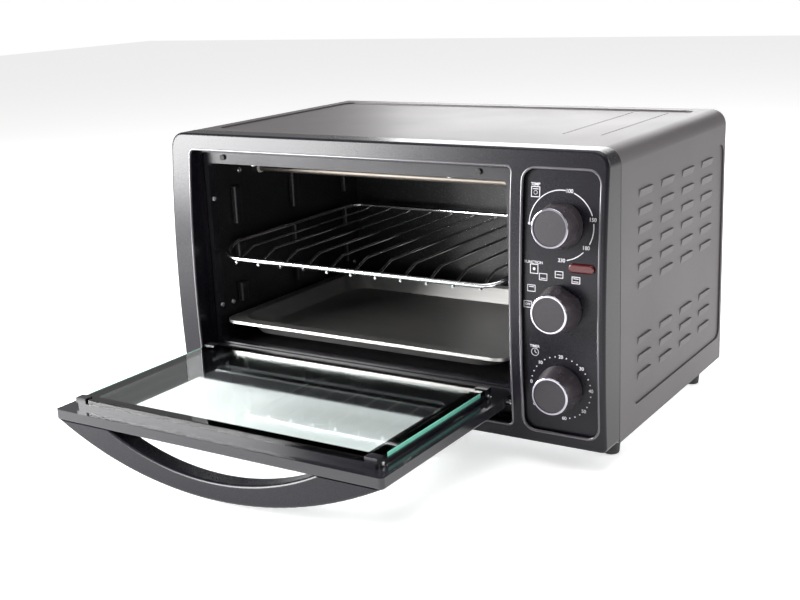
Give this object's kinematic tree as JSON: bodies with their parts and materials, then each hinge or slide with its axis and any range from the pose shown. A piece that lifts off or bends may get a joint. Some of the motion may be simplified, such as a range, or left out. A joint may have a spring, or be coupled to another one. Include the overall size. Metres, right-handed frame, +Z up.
{
  "type": "toaster oven",
  "caption": "Countertop toaster oven with a bottom-hinged glass door, bow handle, wire rack, sliding baking tray and a column of dials.",
  "frame": {"origin": "on the floor, under the middle of the box that the oven takes up with its door open", "axes": "+Z up, +Y towards the oven's back, +X towards the controls"},
  "size_m": [0.48, 0.525, 0.284],
  "materials": {
    "cover_coat": "fine matt powder coat, warm dark grey",
    "galvanised": "dull galvanised sheet",
    "bezel_black": "satin black moulding",
    "cavity_enamel": "black heat-proof enamel",
    "door_black": "gloss black enamel",
    "door_glass": "clear toughened glass with a green edge",
    "element_sheath": "heat-dulled steel sheath",
    "ceramic": "white ceramic, unglazed",
    "control_case": "pale moulded case",
    "zinc_steel": "bright zinc plate",
    "black_screw": "blackened steel",
    "knob_grey": "satin metallic grey moulding",
    "knob_chrome": "bright chrome plate",
    "lens_red": "clear red moulding",
    "lamp_glass": "small glass bulb",
    "foot_black": "matt black moulding",
    "rubber": "soft black rubber",
    "tray_steel": "brushed aluminium coat",
    "rack_chrome": "bright chrome plate"
  },
  "bodies": {
    "oven": {"outer_cover": "cover_coat", "back_panel": "cover_coat", "base_plate": "galvanised", "control_plate": "galvanised", "left_hinge_bracket": "galvanised", "right_hinge_bracket": "galvanised", "front_bezel": "bezel_black", "cavity_flange": "cavity_enamel", "cavity_left_wall": "cavity_enamel", "cavity_right_wall": "cavity_enamel", "cavity_roof": "cavity_enamel", "cavity_floor": "cavity_enamel", "cavity_back": "cavity_enamel", "upper_front_element": "element_sheath", "upper_rear_element": "element_sheath", "lower_front_element": "element_sheath", "lower_rear_element": "element_sheath", "element_insulators": "ceramic", "thermostat": "control_case", "function_switch": "control_case", "timer_drive": "control_case", "flange_screws": "zinc_steel", "wall_rivets": "zinc_steel", "foot_screws": "zinc_steel", "cover_screws": "black_screw", "indicator_lens": "lens_red", "neon_lamp": "lamp_glass", "front_left_foot": "foot_black", "rear_left_foot": "foot_black", "front_right_foot": "foot_black", "rear_right_foot": "foot_black", "cord_gland": "foot_black", "bumpers": "rubber"},
    "door": {"door_panel": "door_black", "door_frame": "door_black", "door_glass": "door_glass", "door_handle": "bezel_black", "door_screws": "zinc_steel", "hinge_pins": "zinc_steel"},
    "tray": {"baking_tray": "tray_steel"},
    "rack": {"wire_rack": "rack_chrome"},
    "temperature_control": {"temperature_shaft": "zinc_steel", "temperature_knob": "knob_grey", "temperature_knob_ring": "knob_chrome", "temperature_knob_cap": "knob_grey"},
    "function_control": {"function_shaft": "zinc_steel", "function_knob": "knob_grey", "function_knob_ring": "knob_chrome", "function_knob_cap": "knob_grey"},
    "timer_control": {"timer_shaft": "zinc_steel", "timer_knob": "knob_grey", "timer_knob_ring": "knob_chrome", "timer_knob_cap": "knob_grey"}
  },
  "joints": [
    {"name": "door_hinge", "type": "hinge", "parent": "oven", "child": "door", "pos_m": [-0.0325, -0.0505, 0.054], "axis": [-1, 0, 0], "range_deg": [0, 90]},
    {"name": "tray_slide", "type": "slide", "parent": "oven", "child": "tray", "axis": [0, 1, 0], "range_m": [-0.15, 0]},
    {"name": "rack_slide", "type": "slide", "parent": "oven", "child": "rack", "axis": [0, 1, 0], "range_m": [-0.13, 0]},
    {"name": "temperature_turn", "type": "hinge", "parent": "oven", "child": "temperature_control", "pos_m": [0.197, -0.04869, 0.2195], "axis": [0, 0.9971, -0.0763], "range_deg": [-90, 182]},
    {"name": "function_turn", "type": "hinge", "parent": "oven", "child": "function_control", "pos_m": [0.197, -0.05222, 0.147], "axis": [0, 0.9998, -0.0208], "range_deg": [-120, 0]},
    {"name": "timer_turn", "type": "hinge", "parent": "oven", "child": "timer_control", "pos_m": [0.197, -0.05172, 0.075], "axis": [0, 0.9994, 0.0346], "range_deg": [-44, 262]}
  ]
}
